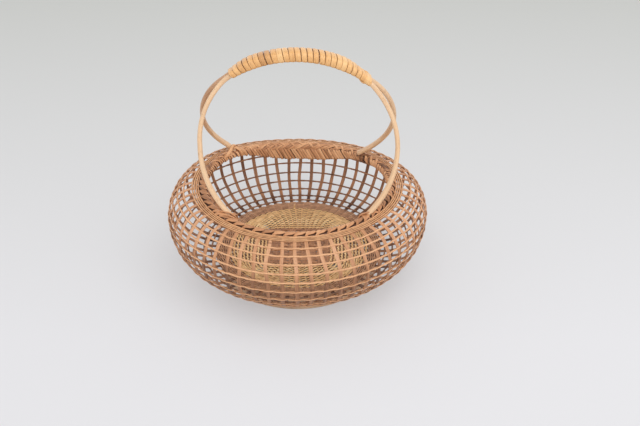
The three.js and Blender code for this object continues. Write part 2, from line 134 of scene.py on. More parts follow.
def wall_spot(curve, angle):
    """The middle of the stakes, at an angle on the wall's curve: -90 at the base, 90 at the rim."""
    curve = np.asarray(curve, float)
    c = np.radians(curve)
    low = curve < 0
    across, upward = np.maximum(0, np.cos(c)), np.abs(np.sin(c))
    across = np.where(low, across ** LOWER_EXPONENT, across)
    upward = np.where(low, upward ** LOWER_EXPONENT, upward)
    reach = np.where(low, BELLY_R - BASE_R, BELLY_R - SHOULDER_R)
    rise = np.where(low, BASE_H - BELLY_H, SHOULDER_H - BELLY_H)
    return place(BELLY_R - reach * (1 - across), angle, BELLY_H + rise * upward)


def wall_frame(curve, angle):
    """Points of the wall with their outward and upward directions."""
    curve, angle = np.broadcast_arrays(np.asarray(curve, float), np.asarray(angle, float))
    up = unit(wall_spot(curve + 0.5, angle) - wall_spot(curve - 0.5, angle))
    around = unit(wall_spot(curve, angle + 0.5) - wall_spot(curve, angle - 0.5))
    return wall_spot(curve, angle), unit(np.cross(around, up)), up


# Strands
FIBRE_SHIFT = 5000
SHARP_ANGLE = 62


def flat_section(width, thick, edge, crown=0.0):
    """A strip's section: a rectangle with round edges, its outer face crowned."""
    points = []
    for cx, cy, start in ((1, -1, -90), (1, 1, 0), (-1, 1, 90), (-1, -1, 180)):
        for turn in (0, 45, 90):
            a = math.radians(start + turn)
            x = cx * (width / 2 - edge) + edge * math.cos(a)
            y = cy * (thick / 2 - edge) + edge * math.sin(a)
            points.append((x, y))
        if (cx, cy) == (1, 1):
            points.append((0, thick / 2 + crown))
    return np.array(points)


def oval_section(width, thick, sides=7):
    """A round strand's section."""
    a = 2 * np.pi * (np.arange(sides) + 0.5) / sides
    return np.stack([width / 2 * np.cos(a), thick / 2 * np.sin(a)], -1)


class Weave:
    """Strands gathered in one mesh. Each vertex keeps its place along and across its strand, in
    metres, and its strand's tone."""

    def __init__(self):
        self.points, self.fibre, self.tone = [], [], []
        self.loops, self.sizes = [], []
        self.count = 0

    def strand(self, path, out, section, tone=0.0, closed=False, wide=1.0, thick=1.0, tilt=0.0):
        """A strand of one section along a path. wide and thick scale it, all along or point by point,
        and tilt turns it on its own line, so that neighbours lap like shingles."""
        path = np.asarray(path, float)
        if closed:
            along = unit(np.roll(path, -1, 0) - np.roll(path, 1, 0))
        else:
            along = unit(np.gradient(path, axis=0))
        across = unit(np.cross(out, along))
        out = np.cross(along, across)
        c, s = math.cos(math.radians(tilt)), math.sin(math.radians(tilt))
        across, out = across * c + out * s, out * c - across * s
        sx = section[:, 0] * np.reshape(wide, (-1, 1))
        sy = section[:, 1] * np.reshape(thick, (-1, 1))
        rings = path[:, None] + across[:, None] * sx[..., None] + out[:, None] * sy[..., None]
        self.skin(rings, path, section, tone, closed)

    def skin(self, rings, path, section, tone, closed):
        """Faces over the rings of points. Each strand reads its fibres at a place of its own."""
        n, m = rings.shape[:2]
        step = np.linalg.norm(np.diff(path, axis=0), axis=1)
        length = np.concatenate([[0], np.cumsum(step)]) + rng.uniform(0, FIBRE_SHIFT)
        girth = np.concatenate([[0], np.cumsum(np.linalg.norm(np.diff(section, axis=0), axis=1))])
        fibre = np.zeros((n, m, 3))
        fibre[..., 0] = length[:, None]
        fibre[..., 1] = section[None, :, 0]
        fibre[..., 2] = girth[None, :]
        i = np.arange(n if closed else n - 1)[:, None]
        k = np.arange(m)[None, :]
        j, l = (i + 1) % n, (k + 1) % m
        quads = np.stack([i * m + k, i * m + l, j * m + l, j * m + k], -1).reshape(-1, 4)
        self.points.append(rings.reshape(-1, 3))
        self.fibre.append(fibre.reshape(-1, 3) * MM)
        self.tone.append(np.broadcast_to(tone, (n, m)).reshape(-1))
        self.loops.append((quads + self.count).reshape(-1))
        self.sizes.append(np.full(len(quads), 4))
        if not closed:
            cap = np.arange(m) + self.count
            self.loops += [cap[::-1], cap + (n - 1) * m]
            self.sizes.append(np.array([m, m]))
        self.count += n * m

    def build(self, name, material, replaces):
        """Make the mesh a piece of the basket, which stands for the named nodes."""
        points = np.concatenate(self.points) * MM
        loops = np.concatenate(self.loops)
        sizes = np.concatenate(self.sizes)
        mesh = bpy.data.meshes.new(name)
        mesh.vertices.add(len(points))
        mesh.vertices.foreach_set("co", points.astype(np.float32).ravel())
        mesh.loops.add(len(loops))
        mesh.loops.foreach_set("vertex_index", loops.astype(np.int32))
        mesh.polygons.add(len(sizes))
        starts = np.concatenate([[0], np.cumsum(sizes)[:-1]])
        mesh.polygons.foreach_set("loop_start", starts.astype(np.int32))
        mesh.update(calc_edges=True)
        mesh.validate()
        mesh.polygons.foreach_set("use_smooth", np.ones(len(sizes), bool))
        mesh.set_sharp_from_angle(angle=math.radians(SHARP_ANGLE))
        fibre = mesh.attributes.new("fibre", "FLOAT_VECTOR", "POINT")
        fibre.data.foreach_set("vector", np.concatenate(self.fibre).astype(np.float32).ravel())
        tone = mesh.attributes.new("tone", "FLOAT", "POINT")
        tone.data.foreach_set("value", np.concatenate(self.tone).astype(np.float32))
        mesh.materials.append(material)
        piece = bpy.data.objects.new(name, mesh)
        bpy.context.scene.collection.objects.link(piece)
        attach(piece, "root")
        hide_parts(*replaces)


# Materials
def linear(r, g, b):
    """An sRGB colour, as seen, in the renderer's linear values."""
    c = np.array([r, g, b]) / 255
    c = np.where(c <= 0.04045, c / 12.92, ((c + 0.055) / 1.055) ** 2.4)
    return (*c.tolist(), 1)


class Nodes:
    """A short way to write the nodes of a material or of the world."""

    def __init__(self, owner, shader="Principled BSDF"):
        owner.use_nodes = True
        self.tree = owner.node_tree
        self.shader = self.tree.nodes[shader]

    def put(self, value, socket):
        """Set a socket, or link another one to it."""
        if isinstance(value, bpy.types.NodeSocket):
            self.tree.links.new(value, socket)
        else:
            socket.default_value = value

    def add(self, kind, values, **settings):
        """A new node with its inputs and its settings."""
        node = self.tree.nodes.new(kind)
        for key, value in settings.items():
            setattr(node, key, value)
        for key, value in values.items():
            self.put(value, node.inputs[key])
        return node

    def math(self, operation, a, b=0.0, c=0.0, clamp=False):
        node = self.add("ShaderNodeMath", {0: a, 1: b, 2: c}, operation=operation, use_clamp=clamp)
        return node.outputs[0]

    def noise(self, vector, stretch, detail):
        mapping = self.add("ShaderNodeMapping", {"Vector": vector, "Scale": stretch})
        values = {"Vector": mapping.outputs[0], "Scale": 1.0, "Detail": detail}
        return self.add("ShaderNodeTexNoise", values).outputs["Fac"]

    def map_range(self, value, low, high, to_low, to_high):
        values = {"Value": value, "From Min": low, "From Max": high, "To Min": to_low, "To Max": to_high}
        return self.add("ShaderNodeMapRange", values).outputs[0]

    def ramp(self, fac, stops):
        node = self.add("ShaderNodeValToRGB", {"Fac": fac})
        elements = node.color_ramp.elements
        while len(elements) < len(stops):
            elements.new(0.5)
        for element, (position, colour) in zip(elements, stops):
            element.position = position
            element.color = colour
        return node.outputs["Color"]

    def multiply(self, share, a, b):
        node = self.add("ShaderNodeMix", {}, data_type="RGBA", blend_type="MULTIPLY")
        for value, index in ((share, 0), (a, 6), (b, 7)):
            self.put(value, node.inputs[index])
        return node.outputs[2]


# How fine the fibres, blotches and worn spots are, along a strand and across it
FIBRES, BLOTCHES, WORN = (70, 2200, 2200), (28, 160, 160), (240, 700, 700)
PLAIN = (1, 1, 1, 1)
WORN_TINT, JOINT_TINT = (0.45, 0.36, 0.3, 1), (0.5, 0.4, 0.34, 1)
# The stem's joints, in metres: from one to the next, how wide each is, and how much it strays
JOINT_PITCH, JOINT_W, JOINT_STRAY = 0.18, 0.0025, 0.004


def cane(name, dark, mid, light, roughness=0.5, grain=0.3, blotch=0.3, joint=0.0):
    """Split bamboo or rattan: fibres along the strand, slow blotches, worn spots, a tone for each
    strand, and the stem's joints as thin dark bands."""
    material = bpy.data.materials.new(name)
    n = Nodes(material)
    fibre = n.add("ShaderNodeAttribute", {}, attribute_name="fibre").outputs["Vector"]
    tone = n.add("ShaderNodeAttribute", {}, attribute_name="tone").outputs["Fac"]
    fine = n.noise(fibre, FIBRES, 3.0)
    slow = n.noise(fibre, BLOTCHES, 2.0)
    worn = n.noise(fibre, WORN, 4.0)
    fac = n.math("MULTIPLY_ADD", n.math("SUBTRACT", fine, 0.5), 2 * grain, 0.5)
    fac = n.math("MULTIPLY_ADD", n.math("SUBTRACT", slow, 0.5), 2 * blotch, fac)
    fac = n.math("MULTIPLY_ADD", tone, 0.3, fac, clamp=True)
    colour = n.ramp(fac, [(0.0, linear(*dark)), (0.5, linear(*mid)), (1.0, linear(*light))])
    spots = n.ramp(worn, [(0.30, WORN_TINT), (0.42, PLAIN)])
    colour = n.multiply(0.5, colour, spots)
    if joint:
        along = n.add("ShaderNodeSeparateXYZ", {0: fibre}).outputs[0]
        bend = n.math("MULTIPLY_ADD", slow, JOINT_STRAY, along)
        near = n.math("PINGPONG", bend, JOINT_PITCH / 2)
        bands = n.ramp(n.math("MULTIPLY", near, 1 / JOINT_W), [(0.25, JOINT_TINT), (0.7, PLAIN)])
        colour = n.multiply(joint, colour, bands)
    n.put(colour, n.shader.inputs["Base Color"])
    n.put(n.math("MULTIPLY_ADD", fine, 0.25, roughness - 0.12), n.shader.inputs["Roughness"])
    height = n.add("ShaderNodeBump", {"Height": fine, "Strength": 0.3, "Distance": 0.0003})
    n.put(height.outputs[0], n.shader.inputs["Normal"])
    return material


STAKE = cane("stake_cane", (80, 44, 24), (190, 134, 93), (236, 188, 148), 0.42, joint=0.7)
ROW = cane("row_cane", (96, 60, 36), (190, 135, 93), (230, 178, 132), 0.5)
SHOULDER = cane("shoulder_cane", (128, 80, 46), (216, 160, 112), (240, 194, 146), 0.48)
BRAID = cane("braid_cane", (74, 40, 21), (196, 138, 94), (234, 182, 134), 0.5, joint=0.5)
YELLOW = cane("disc_cane", (112, 70, 36), (224, 178, 122), (252, 218, 162), 0.5)
BROWN = cane("turn_cane", (104, 62, 38), (190, 142, 106), (222, 176, 138), 0.55)
ROD = cane("rod_cane", (158, 98, 60), (220, 181, 140), (240, 210, 174), 0.42, grain=0.18, blotch=0.22)
WRAP = cane("wrap_cane", (150, 92, 42), (226, 172, 110), (248, 210, 154), 0.36, grain=0.25, blotch=0.2)
FOOT = cane("foot_cane", (124, 82, 54), (206, 172, 138), (228, 202, 170), 0.5, joint=0.6)


# Strips: each lies in the mat, fans out under the base and stands as a stake on both sides
MAT_EDGE = 37.6
# The mat lies a little above the base's height, and each strip waves by so much over and under it
MAT_LIFT, MAT_WAVE = 0.65, 0.52
MAT_STEPS, FAN_STEPS, WALL_STEPS = 121, 26, 91
# In the mat the strips lie in pairs: the middle one alone, then three pairs and a last one on each side
PAIR_SHIFT = 0.65
PAIR_MIDDLES = MAT_PITCH * np.array([0, 1.5, 3.5, 5.5, 7, 8.5])
# Stakes near the front lean by so many degrees, and above the belly they come back by so many
FRONT = 270
LEAN, LEAN_BACK = 0.8, 1.5
# A stake's end stops this far before the rim's inner edge
END_SHORT = 4.5
STAKE_WIDEN, STAKE_NARROW, MAT_NARROW = 1.12, 0.06, 0.04
# How much darker a stake may be inside the basket, and how often it is
INNER_SHADES, SHADE_SHARES = (0.2, 0.5, 1.0), (0.45, 0.35, 0.2)
DOWN = np.array([0.0, 0.0, -1.0])
UP = np.array([0.0, 0.0, 1.0])


def hermite(p0, t0, p1, t1, steps):
    """A curve from one point to another that leaves and arrives along the two given directions."""
    t = np.linspace(0, 1, steps)[:, None]
    return ((2 * t**3 - 3 * t**2 + 1) * p0 + (t**3 - 2 * t**2 + t) * t0
            + (3 * t**2 - 2 * t**3) * p1 + (t**3 - t**2) * t1)


def wall_angle(k, axis, side):
    """The angle at which a strip goes up the wall. Axis 0 runs along X and axis 1 along Y."""
    if axis == 0:
        return k * STEP if side > 0 else 180 - k * STEP
    return 90 - k * STEP if side > 0 else 270 + k * STEP


def fan_line(k, axis, side):
    """A strip's way from the mat's edge to the turn, in plan."""
    heading = np.array([side, 0.0]) if axis == 0 else np.array([0.0, side])
    sideways = np.array([0.0, 1.0]) if axis == 0 else np.array([1.0, 0.0])
    start = heading * MAT_EDGE + sideways * k * MAT_PITCH
    a = math.radians(wall_angle(k, axis, side))
    radial = np.array([math.cos(a), math.sin(a)])
    reach = np.linalg.norm(BASE_R * radial - start)
    return hermite(start, heading * reach, BASE_R * radial, radial * reach, FAN_STEPS)


def half_strip(k, axis, side):
    """The path of a strip from the mat's edge to its end in the rim, with its outward side."""
    angle = wall_angle(k, axis, side)
    curve = np.linspace(-90, 90, WALL_STEPS)
    lean = nearness(angle, FRONT, 30, 110) * (LEAN - LEAN_BACK * smoothstep(curve, 0, 90))
    drift = (lean + wobble(len(curve), 3, 0.2, closed=False)) * smoothstep(curve, -90, -40)
    point, out, up = wall_frame(curve, angle + drift)
    radii = np.linspace(SHOULDER_R, RIM_IN + END_SHORT, 6)[1:]
    end = place(radii, angle + drift[-1], SHOULDER_H, 1.0)
    fan = fan_line(k, axis, side)[:-1]
    flat = np.column_stack([fan, np.full(len(fan), BASE_H)])
    path = np.concatenate([flat, point, end])
    outs = np.concatenate([np.tile(DOWN, (len(fan), 1)), out, np.tile(UP, (len(end), 1))])
    return path, outs


def pair_count(offset):
    """How many pairs of crossing strips lie between the middle and an offset from it."""
    return np.interp(np.abs(offset), PAIR_MIDDLES, np.arange(len(PAIR_MIDDLES)))


def mat_line(k, axis):
    """A strip's way through the mat, over and under the pairs that cross it."""
    across = np.linspace(-MAT_EDGE, MAT_EDGE, MAT_STEPS)[1:-1]
    first = 1 if axis == 0 else -1
    own = math.ceil(abs(k) / 2)
    wave = np.clip(1.6 * np.cos(np.pi * (pair_count(across) + own)), -1, 1)
    ease = 1 - smoothstep(np.abs(across), MAT_EDGE - 0.5 * MAT_PITCH, MAT_EDGE)
    shift = PAIR_SHIFT * math.copysign(1, k) * (1 if k % 2 else -1) * (abs(k) > 0)
    offset = k * MAT_PITCH + (shift + wobble(len(across), 3, 0.16, closed=False)) * ease
    line = np.column_stack([across, offset, BASE_H + (MAT_LIFT + first * MAT_WAVE * wave) * ease])
    return line if axis == 0 else line[:, [1, 0, 2]]


def strip_tone(path, section, beyond, flat):
    """Painted shade below the shoulder and under the base, and darker again on a stake's inner side."""
    height = path[:, 2]
    inner = section[:, 1] < 0
    inside = 0.75 * smoothstep(height, 24, 60) + 0.5 * smoothstep(height, 74, 100)
    shade = rng.choice(INNER_SHADES, p=SHADE_SHARES)
    in_mat = 1 - smoothstep(beyond, MAT_EDGE - 2, MAT_EDGE + 6)
    # Painted shade: the wall below the belly faces down, away from the light, and the strips under the
    # base lie in the shade between the rows
    below = 1.1 * (1 - smoothstep(height, 78, 98)) * (1 - flat)
    below += (0.7 + 0.85 * (1 - in_mat)) * flat
    below = below[:, None] * (1 - 0.6 * inner * (1 - flat[:, None]))
    return rng.normal(0.2, 0.22) - inside[:, None] * inner * shade - below


def strip(k, axis, name, node):
    """One strip, from its end in the rim down and through the mat to its other end in the rim."""
    right, right_out = half_strip(k, axis, 1)
    left, left_out = half_strip(k, axis, -1)
    mat = mat_line(k, axis)
    path = np.concatenate([left[::-1], mat, right])
    outs = np.concatenate([left_out[::-1], np.tile(DOWN, (len(mat), 1)), right_out])
    section = flat_section(STAKE_W * rng.uniform(0.95, 1.07), STAKE_T, 0.32, 0.1)
    beyond = np.max(np.abs(path[:, :2]), 1)
    flat = 1 - smoothstep(path[:, 2], 23, 30)
    widths = STAKE_WIDEN + wobble(len(path), 5, 0.025, closed=False)
    widths = widths - STAKE_NARROW * smoothstep(path[:, 2], 94, 112)
    widths -= MAT_NARROW * (1 - smoothstep(beyond, 14, 30)) * flat
    weave = Weave()
    weave.strand(path, outs, section, strip_tone(path, section, beyond, flat), wide=widths)
    weave.build(name, STAKE, [node])


for index in range(STRIPS):
    for axis, layer in ((0, "lower"), (1, "upper")):
        number = f"{layer}_{index + 1:02d}"
        strip(index - (STRIPS - 1) / 2, axis, f"strip_{number}", f"stake_{number}")


# Twined rows: how far their strands swing outward and upward
ROW_SWING, SHOULDER_SWING = (0.84, 0.12), (0.9, 0.12)
DISC_SWING, BAND_SWING = (1.1, 0.7), (1.05, 0.65)


def twine(weave, centre, out, up, turn, swing, section, tones, swell=0.0):
    """Two strands twisted round the stakes: where one is outside a stake, the other is inside. They
    may swell where they cross a stake."""
    depth, rise = swing
    for strand, tone in enumerate(tones):
        phase = turn + strand * np.pi
        path = centre + out * (depth * np.cos(phase))[:, None]
        path = path + up * (rise * np.sin(phase))[:, None]
        weave.strand(path, out, section, tone, closed=True, wide=1 + swell * np.cos(2 * phase))


def wale(weave, centre, out, up, angle, swing, section, tones):
    """Three strands, each outside two stakes and inside the third by turns."""
    depth, rise = swing
    for strand, tone in enumerate(tones):
        phase = 2 * np.pi * (angle / STEP + strand + 0.5) / 3
        path = centre + out * (depth * np.clip(1.5 * np.cos(phase) + 0.5, -1, 1))[:, None]
        path = path + up * (rise * np.sin(phase))[:, None]
        weave.strand(path, out, section, tone, closed=True)


def ring_angles(steps):
    """Angles round the basket, so many from one stake to the next."""
    return np.linspace(0, 360, STAKES * steps, endpoint=False)


def sided_tone(base, section, shade):
    """A tone that is darker on a strand's inner side."""
    return (base - shade * (section[:, 1] < 0))[None, :]


def edged_tone(base, section, shade):
    """A tone that is darker along a strand's two edges: painted shade in the creases where it meets its
    neighbours.
    """
    x = np.abs(section[:, 0])
    return (base - shade * (x > 0.9 * x.max()))[None, :]


for number, curve in enumerate(LOWER_ROWS + UPPER_ROWS, 1):
    angle = ring_angles(9)
    drift = wobble(len(angle), 6, 0.28)
    centre, out, up = wall_frame(curve + drift, angle)
    section = oval_section(1.9, 0.85, 8)
    # Painted shade: rows low on the wall, which faces down away from the light, are darker
    lit_tone = 0.55 + 0.35 * smoothstep(curve, -60, -10)
    tones = [sided_tone(base, section, 1.5) for base in rng.normal(lit_tone, 0.15, 2)]
    weave = Weave()
    twine(weave, centre, out, up, np.pi * angle / STEP, ROW_SWING, section, tones)
    weave.build(f"row_{number:02d}", ROW, [f"hoop_{number:02d}"])

for number, radius in enumerate(SHOULDER_ROWS, 1):
    angle = ring_angles(8)
    curve = math.degrees(math.acos(1 - (BELLY_R - radius) / (BELLY_R - SHOULDER_R)))
    centre, out, up = wall_frame(np.full(len(angle), curve), angle)
    weave = Weave()
    section = oval_section(1.75, 1.0, 8)
    tones = [edged_tone(base, section, 1.6) for base in rng.normal(0.4, 0.2, 3)]
    wale(weave, centre, out, up, angle, SHOULDER_SWING, section, tones)
    weave.build(f"shoulder_twine_{number}", SHOULDER, [f"shoulder_row_{number}"])


# The base: golden twined rows round the mat, then a dense brown band up to the wall. The fans are the
# lines of all the strips in plan, from the mat out past the base
FAN_REACH = 120
FANS = []
for axis in (0, 1):
    for side in (1, -1):
        for index in range(STRIPS):
            k = index - (STRIPS - 1) / 2
            a = math.radians(wall_angle(k, axis, side))
            beyond = np.array([[math.cos(a), math.sin(a)]]) * FAN_REACH
            FANS.append(np.concatenate([fan_line(k, axis, side), beyond]))


def corner_size(x, y, power):
    """The size of the square with round corners that passes through a point."""
    return (np.abs(x) ** power + np.abs(y) ** power) ** (1 / power)


def base_row(weave, size, power, swing, section, tones, swell=0.0):
    """A twined row on the base, squarish by the mat and round further out."""
    crossings = []
    for line in FANS:
        sizes = corner_size(line[:, 0], line[:, 1], power)
        x, y = (np.interp(size, sizes, line[:, i]) for i in (0, 1))
        crossings.append(math.degrees(math.atan2(y, x)) % 360)
    crossings = np.sort(crossings)
    steps = 8
    index = np.arange(STAKES * steps) / steps
    a = np.radians(np.interp(index, np.arange(STAKES + 1), [*crossings, crossings[0] + 360]))
    r = size / corner_size(np.cos(a), np.sin(a), power)
    centre = np.column_stack([r * np.cos(a), r * np.sin(a), np.full(len(a), BASE_H)])
    ahead = unit(np.roll(centre, -1, 0) - np.roll(centre, 1, 0))
    twine(weave, centre, np.tile(DOWN, (len(a), 1)), np.cross(ahead, UP), np.pi * index,
          swing, section, tones, swell)


# The disc's rows, in rings of one piece each. The first row lies this far outside the mat, and the last
# this far inside the disc's edge
DISC_ROWS, DISC_RINGS = 11, 3
DISC_FIRST, DISC_LAST = 2.8, 2.2
# The turn band's rows: how many, how far the first lies outside the disc's edge, and their pitch
BAND_ROWS, BAND_FIRST, BAND_PITCH = 6, 1.5, 2.6

for ring in range(DISC_RINGS):
    disc = Weave()
    for row in range(ring * DISC_ROWS // DISC_RINGS, (ring + 1) * DISC_ROWS // DISC_RINGS):
        share = row / (DISC_ROWS - 1)
        size = MAT_EDGE + DISC_FIRST + (DISC_R - DISC_FIRST - DISC_LAST - MAT_EDGE) * share
        power = 2 + 5 * (1 - share) ** 1.6
        tones = rng.normal(0.4, 0.45, 2)
        base_row(disc, size, power, DISC_SWING, oval_section(2.1, 1.25), tones, 0.12)
    disc.build(f"twined_disc_{ring + 1}", YELLOW, ["base_disc"])

band = Weave()
for row in range(BAND_ROWS):
    radius = DISC_R + BAND_FIRST + row * BAND_PITCH
    section = oval_section(1.7, 1.25)
    tones = rng.normal(0, 0.4, 2)
    if radius < BASE_R:
        base_row(band, radius, 2, BAND_SWING, section, tones)
    else:
        angle = ring_angles(8)
        share = 1 - (BELLY_R - radius) / (BELLY_R - BASE_R)
        curve = -math.degrees(math.acos(share ** (1 / LOWER_EXPONENT)))
        centre, out, up = wall_frame(np.full(len(angle), curve), angle)
        twine(band, centre, out, up, np.pi * angle / STEP, BAND_SWING, section, tones)
band.build("twined_turn", BROWN, ["turn_band"])

# The end of one weaver stands up at the edge of the disc
STUB_R, STUB_ANGLE, STUB_H = 85.0, 94.5, 8
stub = Weave()
height = np.linspace(0, STUB_H, 8)
path = place(STUB_R - 0.05 * height**2, STUB_ANGLE, BASE_H + 0.6 + height, 0.0)
stub.strand(path, np.tile([0.0, -1.0, 0.0], (len(path), 1)), oval_section(1.9, 1.1), 1.4)
stub.build("weaver_end", YELLOW, ["base_disc"])

# The braided rim. Its skin runs from the outer edge over the top to the lip's lower edge
RIM_LINE = np.array([
    (117.3, 109.4), (116.9, 111.3), (115.2, 112.9), (112.0, 113.7), (109.4, 113.2), (107.9, 111.6),
    (RIM_IN, 109.8)])
LIP_START = RIM_LINE[-1, 1]


def smooth_line(points, steps=12):
    """A Catmull-Rom curve through the points."""
    p = np.concatenate([[2 * points[0] - points[1]], points, [2 * points[-1] - points[-2]]])
    t = np.linspace(0, 1, steps, endpoint=False)[:, None]
    pieces = []
    for a, b, c, d in zip(p, p[1:], p[2:], p[3:]):
        pieces.append(0.5 * (2 * b + (c - a) * t + (2 * a - 5 * b + 4 * c - d) * t**2
                             + (3 * b - a - 3 * c + d) * t**3))
    return np.concatenate(pieces + [points[-1:]])


HOOK_R = 1.3
RIM_CURVE = smooth_line(RIM_LINE)
RIM_RUN = np.concatenate([[0], np.cumsum(np.linalg.norm(np.diff(RIM_CURVE, axis=0), axis=1))])


def lip_bottom(angle):
    """The height of the lip's lower edge."""
    share = nearness(angle, BACK_LIP_ANGLE, BACK_LIP_FULL, BACK_LIP_SPAN)
    return RIM_TOP - LIP_DROP - (BACK_LIP_DROP - LIP_DROP) * share


def rim_total(angle):
    """The way over the braid's skin, from the outer edge to the lip's lower edge."""
    return RIM_RUN[-1] + LIP_START - lip_bottom(angle) + HOOK_R * (np.pi / 2 - 1)


def rim_section(w, angle):
    """Radius and height on the braid's skin: w is 0 at the outer edge and 1 at the lip's lower edge.
    Past 1 the skin turns up again behind the lip."""
    over = RIM_RUN[-1]
    s = w * rim_total(angle)
    straight = LIP_START - lip_bottom(angle) - HOOK_R
    drop = np.clip(s - over, 0, straight)
    turn = np.clip((s - over - straight) / HOOK_R, 0, np.pi)
    radius = np.interp(s, RIM_RUN, RIM_CURVE[:, 0]) + HOOK_R * (1 - np.cos(turn))
    height = np.interp(s, RIM_RUN, RIM_CURVE[:, 1]) - drop - HOOK_R * np.sin(turn)
    return radius, height


def rim_point(w, angle, lift=0.0):
    """A point above the braid's skin, with its outward direction."""
    w, angle, lift = np.broadcast_arrays(*map(np.asarray, (w, angle, lift)))
    r, z = rim_section(w, angle)
    r0, z0 = rim_section(w - 0.02, angle)
    r1, z1 = rim_section(w + 0.02, angle)
    across = unit(np.stack([z1 - z0, r0 - r1], -1))
    a = np.radians(angle)
    point = place(r + across[..., 0] * lift, angle, z + across[..., 1] * lift, 1.0)
    out = np.stack([across[..., 0] * np.cos(a), across[..., 0] * np.sin(a), across[..., 1]], -1)
    return point, out


def rim_strand(weave, w, angle, lift, width, section, tone, tilt):
    """A strand laid on the braid's skin, its width given point by point."""
    point, out = rim_point(w, angle, lift)
    weave.strand(point, out, section, tone, wide=width, tilt=tilt)


def spread(values, t):
    """Values at equal steps, read along a strand."""
    return np.interp(t, np.linspace(0, 1, len(values)), values)


# Places along a strand of the braid, from its start to its end
ALONG = np.linspace(0, 1, 24)
# Each strand's width, thickness, edge and crown, and how far it is turned on its own line
OVER_STRAND, OVER_TILT = (3.0, 1.5, 0.6, 0.35), 7
CROSS_STRAND, CROSS_TILT = (3.1, 1.4, 0.55, 0.35), -6
LIP_STRAND, LIP_TILT = (3.7, 1.4, 0.55, 0.4), -9
# The strands over the top begin this far before the outer edge, in millimetres over the skin
OVER_START = -0.4
# Cross strands lie where the nearness to the back is at least so large. They begin so far from the
# outer edge and run so far, in millimetres over the skin
CROSS_NEARNESS = 0.25
CROSS_START, CROSS_RUN = 3.8, 9.6
# The pale rows at the outer edge, in millimetres over the skin
EDGE_ROWS = (0.5, 2.2)
LIP_STRANDS = 3 * STAKES


def plait_pair(weave, start, section):
    """Two strands over the rim's top, side by side. They come up close together at the outer edge,
    then part, widen and lean over, at the back most of all."""
    back = nearness(start, BACK_LIP_ANGLE, 25, 95)
    flank = nearness(start, 0, 25, 65) + nearness(start, 180, 25, 65)
    total = rim_total(start + STEP)
    pair_tone = rng.normal(0.15, 0.3)
    turn = 0.68 + rng.normal(0, 0.03)
    for side in (-1, 1):
        reach = 0.65 - 0.02 * side - 0.08 * back + rng.normal(0, 0.01)
        way = OVER_START + reach * total * ALONG
        rate = turn + back * (0.75 - 0.45 * smoothstep(way, 9.5, 12.5))
        lean = np.cumsum(rate * smoothstep(way, 3.6, 5.0)) * (way[1] - way[0])
        apart = side * (0.45 + 1.1 * smoothstep(way, 4.4, 8.0))
        lift = np.interp(way, (OVER_START, 3.0, 4.6), (-1.5, -1.0, 0.3 + rng.normal(0, 0.1)))
        lift -= 1.1 * smoothstep(ALONG, 0.82, 1)
        width = 0.6 + (0.78 - 0.28 * back) * smoothstep(way, 4.8, 7.8)
        width *= 1 - 0.3 * smoothstep(ALONG, 0.8, 1)
        # Painted shade along the strands' edges, deepest at the back and the flanks
        shade = 0.8 + 1.5 * back + 0.8 * flank
        tone = edged_tone(pair_tone - 0.6 * flank + rng.normal(0, 0.2), section, shade)
        w = way / rim_total(start + lean)
        rim_strand(weave, w, start + lean + apart, lift, width, section, tone, OVER_TILT)


def plait_cross(weave, start, section):
    """A shorter strand that crosses the pairs the other way and dips in at both ends."""
    way = CROSS_START + (CROSS_RUN + rng.normal(0, 0.5)) * ALONG
    around = start + 6 - (0.75 + rng.normal(0, 0.06)) * (way - way[0])
    lift = 1.5 * np.sin(np.pi * ALONG) ** 0.7 - 0.7 + rng.normal(0, 0.1)
    width = 0.7 + 0.3 * np.sin(np.pi * ALONG)
    tone = edged_tone(rng.normal(0.35, 0.5), section, 2.4)
    rim_strand(weave, way / rim_total(around), around, lift, width, section, tone, CROSS_TILT)


def plait_lip(weave, start, layer, section):
    """A strand down the lip, which slants the other way and turns under the lower edge."""
    back = nearness(start, BACK_LIP_ANGLE, 20, 60)
    slant = 2.6 + 3.2 * back
    first = 0.52 - 0.06 * back
    w = first + (1.08 - first + rng.normal(0, 0.012)) * ALONG
    lift = (-0.25, 0.05, 0.3)[layer] + rng.normal(0, 0.12)
    around = start - (slant + rng.normal(0, 0.25)) * ALONG
    lifts = spread((-0.9, lift, lift, lift, lift, -0.4), ALONG)
    widths = spread((0.8, 1.0, 1.0, 1.0, 0.95, 0.8), ALONG)
    tone = edged_tone(rng.normal(0.25, 0.55), section, 2.3)
    rim_strand(weave, w, around, lifts, widths, section, tone, LIP_TILT)


# Over the top run pairs of strands, with a hole at the outer edge between one pair and the next.
# Further in they lean over so far that they lie edge to edge, at the back nearly along the rim
over = Weave()
section = flat_section(*OVER_STRAND)
for i in range(STAKES):
    plait_pair(over, i * STEP + rng.normal(0, 0.25), section)
over.build("rim_plait_over", BRAID, ["rim_braid"])

# Round the back, shorter strands cross the pairs the other way
cross = Weave()
section = flat_section(*CROSS_STRAND)
for i in range(STAKES):
    start = i * STEP + STEP / 2 + rng.normal(0, 0.4)
    if nearness(start, BACK_LIP_ANGLE, 30, 85) >= CROSS_NEARNESS:
        plait_cross(cross, start, section)
cross.build("rim_plait_cross", BRAID, ["rim_braid"])

# Pale rows bind the pairs at the outer edge
edge = Weave()
angle = ring_angles(6)
section = oval_section(1.75, 1.2, 8)
for way in EDGE_ROWS:
    for strand in (0, 1):
        phase = np.pi * (angle / STEP + strand)
        w = (way + 0.22 * np.sin(phase)) / rim_total(angle)
        point, out = rim_point(w, angle, 0.35 * np.cos(phase) - 0.1)
        tone = edged_tone(rng.normal(0.5, 0.2), section, 1.0)
        edge.strand(point, out, section, tone, closed=True)
edge.build("rim_edge_rows", SHOULDER, ["rim_braid"])

# Down the lip the strands lie in three layers
under = Weave()
section = flat_section(*LIP_STRAND)
for i in range(LIP_STRANDS):
    plait_lip(under, i * 360 / LIP_STRANDS + rng.normal(0, 0.2), i % 3, section)
under.build("rim_plait_lip", BRAID, ["rim_braid"])
